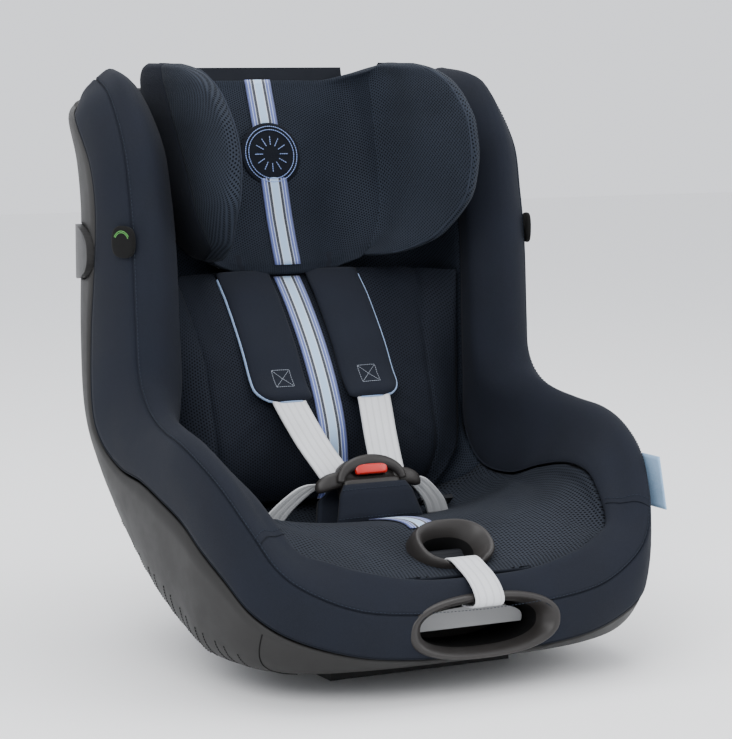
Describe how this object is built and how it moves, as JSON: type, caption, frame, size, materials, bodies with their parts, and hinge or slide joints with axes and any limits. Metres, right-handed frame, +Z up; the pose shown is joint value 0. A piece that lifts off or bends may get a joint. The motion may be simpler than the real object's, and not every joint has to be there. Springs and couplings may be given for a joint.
{
  "type": "convertible car seat",
  "caption": "Convertible child car seat unit: tub shell, side wings, winged sliding headrest, harness with buckle, pop-out side pods and a reclining dock sled.",
  "frame": {"origin": "middle of the sled's flat underside, on the surface the seat stands on, in the symmetry plane", "axes": "+Z up, the sitter faces -Y, +X to the viewer's right when seen from the front"},
  "size_m": [0.436, 0.4856, 0.519],
  "materials": {
    "grey_plastic": "fine-grained moulded",
    "dark_plastic": "moulded",
    "brown_plastic": "moulded",
    "light_plastic": "moulded",
    "black_plastic": "moulded",
    "red_plastic": "moulded",
    "steel": "zinc plated",
    "black_rubber": "matte",
    "navy_fabric": "plain woven",
    "navy_mesh": "spacer mesh",
    "webbing": "woven webbing",
    "blue_fabric": "woven label"
  },
  "bodies": {
    "sled": {"sled_frame": "dark_plastic", "sled_rollers": "black_rubber", "dock_bars": "steel", "recline_rack": "steel", "sled_screws": "steel", "rubber_feet": "black_rubber"},
    "headrest": {"headrest_shell": "grey_plastic", "headrest_cushion": "navy_mesh", "headrest_wing_left": "navy_fabric", "headrest_wing_right": "navy_fabric", "headrest_emblem": "blue_fabric", "lever_pin": "steel"},
    "headrest_lever": {"headrest_lever": "light_plastic"},
    "recline_handle": {"recline_handle": "light_plastic"},
    "recline_pawl": {"recline_pawl": "steel"},
    "adjuster_button": {"adjuster_button": "grey_plastic"},
    "buckle_button": {"buckle_button": "red_plastic"},
    "pod_left": {"pod_left": "grey_plastic"},
    "pod_right": {"pod_right": "grey_plastic"},
    "seat": {"outer_shell": "grey_plastic", "belly_channel": "dark_plastic", "back_shell_rim": "grey_plastic", "cover_rim": "navy_fabric", "back_pad": "navy_mesh", "seat_pad": "navy_mesh", "inlay_back_pad": "navy_mesh", "front_bezel": "brown_plastic", "handle_pivots": "steel", "adjuster_funnel": "brown_plastic", "adjuster_pin": "steel", "adjuster_strap": "webbing", "buckle_housing": "brown_plastic", "crotch_pad": "navy_fabric", "crotch_strap": "webbing", "tongues": "brown_plastic", "shoulder_strap_left": "webbing", "shoulder_strap_right": "webbing", "lap_strap_left": "webbing", "lap_strap_right": "webbing", "shoulder_pad_left": "navy_fabric", "shoulder_pad_right": "navy_fabric", "harness_anchors": "dark_plastic", "pod_guides": "steel", "wing_badges": "black_plastic", "fabric_tag": "blue_fabric", "guide_rods": "steel"}
  },
  "joints": [
    {"name": "recline", "type": "hinge", "parent": "sled", "child": "seat", "pos_m": [0, -0.06, 0.395], "axis": [-1, 0, 0], "range_deg": [0, 15]},
    {"name": "headrest_height", "type": "slide", "parent": "seat", "child": "headrest", "axis": [0, 0.2419, 0.9703], "range_m": [0, 0.12]},
    {"name": "headrest_lever_pull", "type": "hinge", "parent": "headrest", "child": "headrest_lever", "pos_m": [0, 0.24824, 0.50651], "axis": [1, 0, 0], "range_deg": [0, 14], "stiffness_Nm_per_rad": 0.3, "springref_deg": -11.46},
    {"name": "recline_handle_pull", "type": "hinge", "parent": "seat", "child": "recline_handle", "pos_m": [0, -0.1537, 0.0625], "axis": [-1, 0, 0], "range_deg": [0, 8], "stiffness_Nm_per_rad": 0.6, "springref_deg": -11.46},
    {"name": "pawl_lift", "type": "slide", "parent": "seat", "child": "recline_pawl", "axis": [0, -0.1392, 0.9903], "range_m": [0, 0.005]},
    {"name": "adjuster_press", "type": "hinge", "parent": "seat", "child": "adjuster_button", "pos_m": [0, -0.13586, 0.10638], "axis": [1, 0, 0], "range_deg": [0, 12], "stiffness_Nm_per_rad": 0.3, "springref_deg": -11.46},
    {"name": "buckle_press", "type": "slide", "parent": "seat", "child": "buckle_button", "axis": [0, 0.9397, -0.342], "range_m": [0, 0.0035], "stiffness_N_per_m": 600, "springref_m": -0.002},
    {"name": "pod_left_out", "type": "slide", "parent": "seat", "child": "pod_left", "axis": [-1, 0, 0], "range_m": [0, 0.026]},
    {"name": "pod_right_out", "type": "slide", "parent": "seat", "child": "pod_right", "axis": [1, 0, 0], "range_m": [0, 0.026]}
  ],
  "couplings": [
    {"joint": "pawl_lift", "follows": "recline_handle_pull", "m_per_rad": 0.0322}
  ]
}
